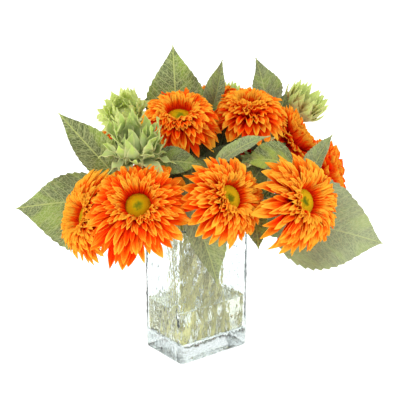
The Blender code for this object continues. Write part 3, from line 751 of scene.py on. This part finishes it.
def build_bud(number, name, seat, centre, turn, lift, size, mats):
    """One half-open bud on its stem."""
    rng = random.Random(BUD_SEED + number)
    axis = axis_of(turn, lift)
    place = Place(MM * np.array(centre), axis)
    bracts, mess, pale, rust = BUD_LOOKS[name]
    gather = Gather("along", "edge", "tone", "pale", "rust")
    for count, start, end, *sizes in bracts:
        reach, tip_height, root_height, width = (value * MM * size for value in sizes)
        first = rng.uniform(0.0, ROUND)
        for k in range(count):
            angle = first + TURN * (k + rng.uniform(-0.25, 0.25)) / count
            rusty = rust * max(0.35 + 0.65 * math.cos(angle - RUST_SIDE), 0.0)
            grid = petal_grid(
                (BRACT_ROOT * size, root_height),
                (reach * (1.0 + mess * rng.uniform(-0.16, 0.06)),
                 tip_height * (1.0 + mess * rng.uniform(-0.14, 0.1))),
                (start + rng.uniform(-8, 8), end + mess * rng.uniform(-34, 30)),
                width * rng.uniform(0.8, 1.08), bract_outline, angle,
                mess * rng.uniform(-0.45, 0.45), mess * rng.uniform(-0.7, 0.7),
                rng.uniform(0.0, 0.5), BRACT_SIZE, mess * rng.uniform(0.15, 0.55),
            )
            gather.sheet(place.world(grid), BRACT_THICKNESS, tone=rng.random(), pale=pale,
                         rust=rusty)
    core = [(STEM_RADIUS, -BUD_NECK)] + [(r * size, height * size) for r, height in BUD_CORE]
    gather.spin(place, core, CORE_SIDES, pale=pale, rust=rust)
    gather.piece("bracts_" + name, mats["bud"], [name])
    stem = Stem(seat, place.centre + axis * BUD_NECK, axis)
    gather = Gather("tone", "sepal")
    add_stem(gather, stem, rng)
    gather.piece("stem_" + name, mats["stem"], [name])
    build_leaves(name, stem, mats["leaf"], name)


# Glass and water

SIDE_STEPS = 44
CORNER_STEPS = 8
CORNERS = ((1.0, 1.0), (-1.0, 1.0), (-1.0, -1.0), (1.0, -1.0))
# Rings of the glass in mm: insets and heights of the hollow under the vase, then insets, heights
# and ripples of its rounded foot, and of its rim down from the top
HOLLOW = ((30, 3), (22, 2.8), (14, 2.2), (8, 0.8))
FOOT = ((4, 0, 0), (2.2, 0.6, 0.3), (0.9, 1.8, 0.5))
RIM = ((0.4, -2.2, 0.4), (1.3, -0.5, 0), (2.3, 0, 0), (3.4, -0.5, 0), (4.2, -2.2, 0))
# Where the straight outer face starts and how far below the top it ends
FACE_LOW = 0.003
FACE_END = 0.0045
FACE_STEPS = 90
FACE_RIPPLE = 0.0006
INNER_END = 0.005
INNER_STEPS = 29
# How the inside rounds into its floor, in the same columns from the wall and the floor
FILLET = ((0.7, 3, 0), (2.2, 0.9, 0))
INNER_LOW = 0.006
FLOOR_INSETS = (0.012, 0.018, 0.024, 0.03)
# Between the glass and the water, and how high the water climbs at the wall
WATER_GAP = 0.00005
WATER_CLIMB = 0.001
WATER_STEPS = 8
WATER_RIM = ((0.6, 0.3, 0), (1.8, 0, 0))
WATER_INSETS = (0.012, 0.022, 0.03)


def outline(inset):
    """The vase's plan as points, at a distance in from its outer face, with its normals."""
    radius = CORNER_RADIUS - inset
    half = np.array([VASE_WIDTH / 2.0 - CORNER_RADIUS, VASE_DEPTH / 2.0 - CORNER_RADIUS])
    points, normals = [], []
    for corner in range(4):
        for i in range(CORNER_STEPS + 1):
            angle = (corner + i / CORNER_STEPS) * math.pi / 2.0
            normal = np.array([math.cos(angle), math.sin(angle)])
            points.append(half * CORNERS[corner] + radius * normal)
            normals.append(normal)
        start = points[-1]
        end = half * CORNERS[(corner + 1) % 4] + radius * normal
        for i in range(1, SIDE_STEPS):
            points.append(start + (end - start) * i / SIDE_STEPS)
            normals.append(normal)
    return np.array(points), np.array(normals)


def ripples(point):
    """How far the outer face is pushed at a point: broad waves and slanted streaks."""
    x, y, z = (float(c) / MM for c in point)
    broad = noise.noise(Vector((x / 14.0, y / 14.0, z / 22.0)))
    slanted = noise.noise(Vector(((x + 0.45 * z) / 3.4, (y + 0.3 * z) / 3.4, z / 16.0)))
    return 0.45 * broad + 2.2 * max(slanted - 0.12, 0.0)


def vase_level(inset, height, ripple=0.0):
    """One ring of the vase at a height, its face pushed in and out like poured glass."""
    points, normals = outline(inset)
    ring = np.array([turned(x, y, height) for x, y in points])
    if ripple:
        for i, point in enumerate(ring):
            ring[i] = point + turned(*normals[i], 0.0) * (ripple * ripples(point))
    return ring


def shrunk(inset, height):
    """A ring inside the vase's plan, shrunk towards its middle."""
    ring = vase_level(0.004, height)
    ring[:, :2] *= 1.0 - inset / (VASE_DEPTH / 2.0)
    return ring


def rows_at(rows, inset, height):
    """Rings by their rows in mm, counted from an inset and a height."""
    return [vase_level(inset + a * MM, height + b * MM, ripple * MM) for a, b, ripple in rows]


def straight(inset, start, end, steps, ripple=0.0):
    """Evenly spaced rings between two heights."""
    return [vase_level(inset, start + (end - start) * i / steps, ripple)
            for i in range(steps + 1)]


def add_stack(name, levels, mat, node):
    """A closed solid from a stack of rings, in place of a CAD node."""
    faces = skin_faces(len(levels), len(levels[0]))
    add_piece(name, np.concatenate(levels), faces, mat, [node])


def build_vase(mat):
    """The thick glass vase, its outside rippled and its underside hollowed."""
    levels = [shrunk(inset * MM, height * MM) for inset, height in HOLLOW]
    levels += rows_at(FOOT, 0.0, 0.0)
    levels += straight(0.0, FACE_LOW, VASE_HEIGHT - FACE_END, FACE_STEPS, FACE_RIPPLE)
    levels += rows_at(RIM, 0.0, VASE_HEIGHT)
    levels += straight(WALL, VASE_HEIGHT - INNER_END, FLOOR + INNER_LOW, INNER_STEPS)
    levels += rows_at(FILLET, WALL, FLOOR)
    levels += [shrunk(inset, FLOOR) for inset in FLOOR_INSETS]
    add_stack("vase_glass", levels, mat, "vase")


def build_water(mat):
    """Water that meets the glass, with a low rim where it climbs the wall."""
    inside = WALL + WATER_GAP
    levels = [shrunk(inset, FLOOR + WATER_GAP) for inset in (0.03, 0.018)]
    levels += rows_at(FILLET[::-1], inside, FLOOR)
    levels += straight(inside, FLOOR + INNER_LOW, WATER_LEVEL + WATER_CLIMB, WATER_STEPS)
    levels += rows_at(WATER_RIM, inside, WATER_LEVEL)
    levels += [shrunk(inset, WATER_LEVEL) for inset in WATER_INSETS]
    add_stack("water_body", levels, mat, "water")


# Materials


class Surface:
    """A new material, with short calls for the nodes that it is made of."""

    def __init__(self, name):
        self.mat = bpy.data.materials.new(name)
        self.mat.use_nodes = True
        self.mat.node_tree.nodes.clear()
        self.output = self.node("OutputMaterial")

    def plug(self, socket, value):
        """Set a socket to a value, or link it to another node's output."""
        if isinstance(value, bpy.types.NodeSocket):
            self.mat.node_tree.links.new(value, socket)
        elif socket.type == "RGBA":
            socket.default_value = (*value, 1.0)
        else:
            socket.default_value = value

    def node(self, kind, sockets=None):
        """A node, with some of its sockets set or linked."""
        node = self.mat.node_tree.nodes.new("ShaderNode" + kind)
        for key, value in (sockets or {}).items():
            self.plug(node.inputs[key], value)
        return node

    def field(self, name):
        """The value of a point field."""
        node = self.node("Attribute")
        node.attribute_name = name
        return node.outputs["Fac"]

    def calc(self, operation, *values, clamp=False):
        """A Math node."""
        node = self.node("Math", dict(enumerate(values)))
        node.operation = operation
        node.use_clamp = clamp
        return node.outputs[0]

    def plus(self, a, b):
        return self.calc("ADD", a, b)

    def times(self, a, b):
        return self.calc("MULTIPLY", a, b)

    def spread(self, value, low, high, to_low=0.0, to_high=1.0):
        """Map a value from one range to another, held at its ends."""
        sockets = dict(enumerate((value, low, high, to_low, to_high)))
        return self.node("MapRange", sockets).outputs[0]

    def ramp(self, factor, stops):
        """A colour ramp from (position, colour) stops."""
        node = self.node("ValToRGB", {0: factor})
        elements = node.color_ramp.elements
        while len(elements) < len(stops):
            elements.new(0.5)
        for element, (position, colour) in zip(elements, stops):
            element.position = position
            element.color = (*colour, 1.0)
        return node.outputs[0]

    def blend(self, factor, a, b):
        """A mix of two colours."""
        node = self.node("Mix")
        node.data_type = "RGBA"
        colours = [socket for socket in node.inputs if socket.type == "RGBA"]
        for socket, value in zip((node.inputs[0], *colours), (factor, a, b)):
            self.plug(socket, value)
        return next(socket for socket in node.outputs if socket.type == "RGBA")

    def place(self, stretch=(1.0, 1.0, 1.0)):
        """Object coordinates, stretched."""
        where = self.node("TexCoord").outputs["Object"]
        return self.node("Mapping", {"Scale": stretch, "Vector": where}).outputs[0]

    def combine(self, x, y, z):
        """A vector from three values."""
        return self.node("CombineXYZ", {0: x, 1: y, 2: z}).outputs[0]

    def cloud(self, vector, scale, detail=3.0, rough=0.5):
        """Noise around 0.5."""
        return self.node("TexNoise", {"Vector": vector, "Scale": scale, "Detail": detail,
                                      "Roughness": rough}).outputs["Fac"]

    def bump(self, height, strength, distance):
        """A bumped normal."""
        return self.node("Bump", {"Height": height, "Strength": strength,
                                  "Distance": distance}).outputs[0]

    def finish(self, factor, first, second):
        """Mix two shaders into the output."""
        mix = self.node("MixShader", {0: factor, 1: first.outputs[0], 2: second.outputs[0]})
        self.plug(self.output.inputs[0], mix.outputs[0])
        return self.mat

    def leafy(self, colour, roughness, normal, glow, shine=0.2):
        """Finish as a matte surface that lets some light through: a share glow of it."""
        shader = self.node("BsdfPrincipled", {"Base Color": colour, "Roughness": roughness,
                                              "Specular IOR Level": shine, "Normal": normal})
        through = self.node("BsdfTranslucent", {"Color": colour, "Normal": normal})
        return self.finish(glow, shader, through)


def petal_material():
    """Orange petals: deep red roots that are partly painted shade, yellow-orange tips, fine lengthwise
    streaks, painted shade in the crease and painted highlight on the edges.
    """
    s = Surface("orange_petals")
    along, tone, edge = s.field("along"), s.field("tone"), s.field("edge")
    streak = s.cloud(s.combine(s.times(edge, 3.0), s.times(along, 1.2), s.times(tone, 40.0)),
                     3.0, 4.0, 0.6)
    # Redder towards the roots: partly the petals' own colour, partly painted shade where the roots lie
    # deep among other petals
    shade = s.plus(s.spread(along, 0.0, 1.0, -0.12, 1.05), s.spread(streak, 0.3, 0.7, -0.2, 0.2))
    shade = s.plus(shade, s.spread(tone, 0.0, 1.0, -0.2, 0.14))
    # Lighter towards the edges and darker along the middle: painted highlight on the folded edges and
    # painted shade in the crease
    shade = s.plus(shade, s.times(edge, 0.13))
    # Redder and darker by the field red: each bloom's redness, partly its own colour and partly painted
    # shade, less the painted light of the petals round the disc
    shade = s.calc("SUBTRACT", shade, s.times(s.field("red"), 0.25))
    colour = s.ramp(shade, [
        (0.0, (0.8, 0.014, 0.001)), (0.3, (0.94, 0.038, 0.0012)), (0.56, (1.0, 0.115, 0.0025)),
        (0.76, (1.0, 0.29, 0.006)), (0.94, (1.0, 0.64, 0.06)),
    ])
    rib = s.cloud(s.combine(s.times(edge, 9.0), along, s.times(tone, 30.0)), 2.5, 2.0)
    return s.leafy(colour, 0.65, s.bump(rib, 0.5, 0.0004), 0.5, 0.08)


def disc_material():
    """Mustard florets round a green middle, darker at the rim."""
    s = Surface("mustard_florets")
    speck = s.cloud(s.place(), 900.0, 2.0)
    uneven = s.cloud(s.place(), 240.0, 1.0)
    shade = s.plus(s.field("reach"), s.spread(speck, 0.3, 0.7, -0.06, 0.06))
    shade = s.plus(shade, s.spread(uneven, 0.3, 0.7, -0.13, 0.13))
    colour = s.ramp(shade, [
        (0.0, (0.13, 0.17, 0.008)), (0.16, (0.2, 0.2, 0.006)), (0.44, (0.52, 0.34, 0.003)),
        (0.78, (0.58, 0.29, 0.002)), (1.0, (0.42, 0.13, 0.001)),
    ])
    golden = s.times(s.field("fresh"), s.spread(shade, 0.22, 0.5, 0.0, 0.9))
    colour = s.blend(golden, colour, (0.74, 0.5, 0.01))
    return s.leafy(colour, 0.9, s.bump(speck, 0.4, 0.0003), 0.08, 0.05)


def leaf_material():
    """Grey-green leaf: yellow-green patches, pale veins with a fine net, paler underside, painted shade
    deep in the bunch.
    """
    s = Surface("veined_leaf")
    vein, across, tone, pale = (s.field(name) for name in ("vein", "away", "tone", "pale"))
    where = s.combine(s.times(vein, 0.011), across, tone)
    wobble = s.spread(s.cloud(where, 90.0, 2.0), 0.3, 0.7, -0.1, 0.1)
    part = s.calc("FRACT", s.plus(vein, wobble))
    nearest = s.calc("MINIMUM", part, s.calc("SUBTRACT", 1.0, part))
    side_vein = s.spread(nearest, 0.01, 0.075, 1.0, 0.0)
    rib = s.spread(s.calc("ABSOLUTE", across), 0.0003, 0.0012, 1.0, 0.0)
    net = s.node("TexVoronoi")
    net.feature = "DISTANCE_TO_EDGE"
    s.plug(net.inputs["Vector"], where)
    s.plug(net.inputs["Scale"], 300.0)
    mesh_line = s.spread(net.outputs["Distance"], 0.02, 0.15, 1.0, 0.0)
    streak = s.cloud(s.combine(s.times(vein, 5.0), s.times(across, 90.0), tone), 1.6, 3.0)
    patch = s.cloud(where, 34.0, 3.0)
    edge = s.plus(patch, s.times(s.field("rim"), 0.06))
    green = s.blend(s.spread(streak, 0.34, 0.66), (0.08, 0.108, 0.034), (0.165, 0.195, 0.078))
    green = s.blend(s.spread(edge, 0.52, 0.68, 0.0, 0.75), green, (0.28, 0.39, 0.055))
    green = s.blend(s.times(mesh_line, 0.52), green, (0.5, 0.56, 0.25))
    green = s.blend(s.times(side_vein, 0.65), green, (0.48, 0.55, 0.2))
    green = s.blend(s.times(rib, 0.8), green, (0.5, 0.57, 0.18))
    grey = s.calc("ADD", s.times(s.field("under"), 0.35), s.times(pale, 0.3), clamp=True)
    green = s.blend(grey, green, (0.42, 0.46, 0.29))
    lime = s.calc("MULTIPLY", pale, s.spread(patch, 0.42, 0.62, 0.0, -0.75), clamp=True)
    green = s.blend(lime, green, (0.36, 0.44, 0.06))
    # Painted shade: leaves deep in the bunch are darkened almost to black by the field deep
    green = s.blend(s.times(s.field("deep"), 0.85), green, (0.014, 0.018, 0.006))
    relief = s.plus(s.times(side_vein, 0.6), s.times(mesh_line, 0.45))
    return s.leafy(green, 0.75, s.bump(relief, 0.7, 0.0006), 0.12)


def stem_material():
    """Olive stem and green sepals, with pale hairs and darker streaks; the pale colour is partly painted
    reflection of the white veil that the glass lays over the stems.
    """
    s = Surface("green_stem")
    streak = s.cloud(s.place((420.0, 420.0, 30.0)), 1.0, 3.0)
    # The pale streak colour is partly the stem's own and partly painted reflection: the white veil of the
    # glass over the stems
    colour = s.blend(s.spread(streak, 0.35, 0.62), (0.44, 0.41, 0.13), (0.92, 0.85, 0.37))
    sepal = s.blend(s.field("tone"), (0.2, 0.24, 0.07), (0.38, 0.46, 0.15))
    colour = s.blend(s.field("sepal"), colour, sepal)
    return s.leafy(colour, 0.6, s.bump(streak, 0.3, 0.0004), 0.15)


def bud_material():
    """Light green bracts with yellow-green points, buff edges and rusty roots, darker towards the roots
    partly as painted shade and paler on bud_left partly as painted light.
    """
    s = Surface("green_bracts")
    along, edge, tone = s.field("along"), s.field("edge"), s.field("tone")
    patch = s.cloud(s.place(), 95.0, 4.0)
    # Darker towards the roots: partly the bracts' own colour, partly painted shade in the crevices between
    # them
    colour = s.ramp(s.plus(along, s.spread(patch, 0.3, 0.7, -0.25, 0.25)), [
        (0.0, (0.24, 0.32, 0.1)), (0.3, (0.4, 0.5, 0.17)), (0.65, (0.54, 0.65, 0.24)),
        (1.0, (0.6, 0.78, 0.13)),
    ])
    buff = s.spread(s.plus(edge, patch), 1.18, 1.5, 0.0, 0.8)
    colour = s.blend(buff, colour, (0.84, 0.8, 0.42))
    colour = s.blend(s.times(tone, 0.25), colour, (0.6, 0.64, 0.42))
    # Paler by the field pale: partly the bud's own colour, partly painted light on bud_left, whose open
    # cup lies in shade
    colour = s.blend(s.times(s.field("pale"), 0.85), colour, (0.84, 0.9, 0.44))
    low = s.spread(s.plus(along, patch), 0.9, 1.4, 0.9, 0.0)
    colour = s.blend(s.times(s.field("rust"), low), colour, (0.66, 0.3, 0.1))
    vein = s.cloud(s.combine(s.times(edge, 8.0), along, tone), 4.0, 3.0)
    return s.leafy(colour, 0.65, s.bump(vein, 0.5, 0.0005), 0.5)


GLASS_INDEX = 1.5
WATER_INDEX = 1.33
GLASS_WAVES = 0.001


def clear_material(name, tint, index, waves=0.0):
    """Clear glass or water. Lamps shine through it, so what is inside stays lit."""
    s = Surface(name)
    glass = s.node("BsdfGlass", {"Color": tint, "Roughness": 0.0, "IOR": index})
    if waves:
        wave = s.cloud(s.place((1.0, 1.0, 0.45)), 200.0, 2.0)
        s.plug(glass.inputs["Normal"], s.bump(wave, 0.9, waves))
    through = s.node("BsdfTransparent", {"Color": (0.93, 0.95, 0.95)})
    return s.finish(s.node("LightPath").outputs["Is Shadow Ray"], glass, through)


# Stage

CAMERA_PLACE = (0.0041, -1.2179, 0.5753)
CAMERA_TILT = math.radians(17.8)
CAMERA_LENS = 99.0
CAMERA_SENSOR = 36.0
FLOOR_HALF = 6.0
# Square soft lights that look at a point in the bunch: name, place, size, watts
LIGHT_TARGET = (0.0, 0.0, 0.2)
LIGHTS = (("key", (-0.9, -1.3, 1.6), 0.9, 22.0), ("fill", (1.3, -1.0, 0.9), 1.0, 8.0))


def add_camera():
    """The photo's view: from the front, 18 degrees above."""
    data = bpy.data.cameras.new("camera")
    data.sensor_width = CAMERA_SENSOR
    data.lens = CAMERA_LENS
    camera = new_object("camera", data)
    camera.location = CAMERA_PLACE
    camera.rotation_euler = (math.pi / 2.0 - CAMERA_TILT, 0.0, 0.0)
    bpy.context.scene.camera = camera


def add_floor():
    """A plain white floor that reaches past every view."""
    mesh = bpy.data.meshes.new("floor")
    corners = [(x * FLOOR_HALF, y * FLOOR_HALF, 0.0) for x, y in CORNERS]
    mesh.from_pydata(corners, [], [(0, 1, 2, 3)])
    s = Surface("white_floor")
    shader = s.node("BsdfPrincipled", {"Base Color": (0.9, 0.9, 0.9), "Roughness": 0.8,
                                       "Emission Color": (1.0, 1.0, 1.0),
                                       "Emission Strength": 0.45})
    s.plug(s.output.inputs[0], shader.outputs[0])
    mesh.materials.append(s.mat)
    floor = new_object("floor", mesh)


def add_lights():
    """A soft key from above the front left and a weaker fill."""
    for name, place, size, watts in LIGHTS:
        data = bpy.data.lights.new(name, "AREA")
        data.size = size
        data.energy = watts
        light = new_object(name, data)
        light.location = place
        aim = Vector(LIGHT_TARGET) - Vector(place)
        light.rotation_euler = aim.to_track_quat("-Z", "Y").to_euler()


def set_stage():
    """White room light, camera, floor, lamps and enough bounces for the glass."""
    scene = bpy.context.scene
    world = bpy.data.worlds.new("white_room")
    world.use_nodes = True
    background = world.node_tree.nodes["Background"]
    background.inputs["Color"].default_value = (1.0, 1.0, 1.0, 1.0)
    background.inputs["Strength"].default_value = 1.0
    scene.world = world
    add_camera()
    add_floor()
    add_lights()
    scene.view_settings.view_transform = "Standard"
    scene.cycles.use_denoising = True
    scene.cycles.max_bounces = 64
    scene.cycles.transmission_bounces = 64
    scene.cycles.transparent_max_bounces = 16


def main():
    """Build the stage, the flowers, the buds, the glass and the water."""
    mats = {"petals": petal_material(), "disc": disc_material(), "leaf": leaf_material(),
            "stem": stem_material(), "bud": bud_material()}
    set_stage()
    for number, (name, seat, look) in enumerate(BLOOMS):
        build_bloom(number, name, seat, look, mats)
    for number, bud in enumerate(BUDS):
        build_bud(number, *bud, mats)
    build_vase(clear_material("rippled_glass", (0.96, 0.988, 0.987), GLASS_INDEX, GLASS_WAVES))
    build_water(clear_material("clear_water", (0.995, 0.99, 0.94), WATER_INDEX))


main()
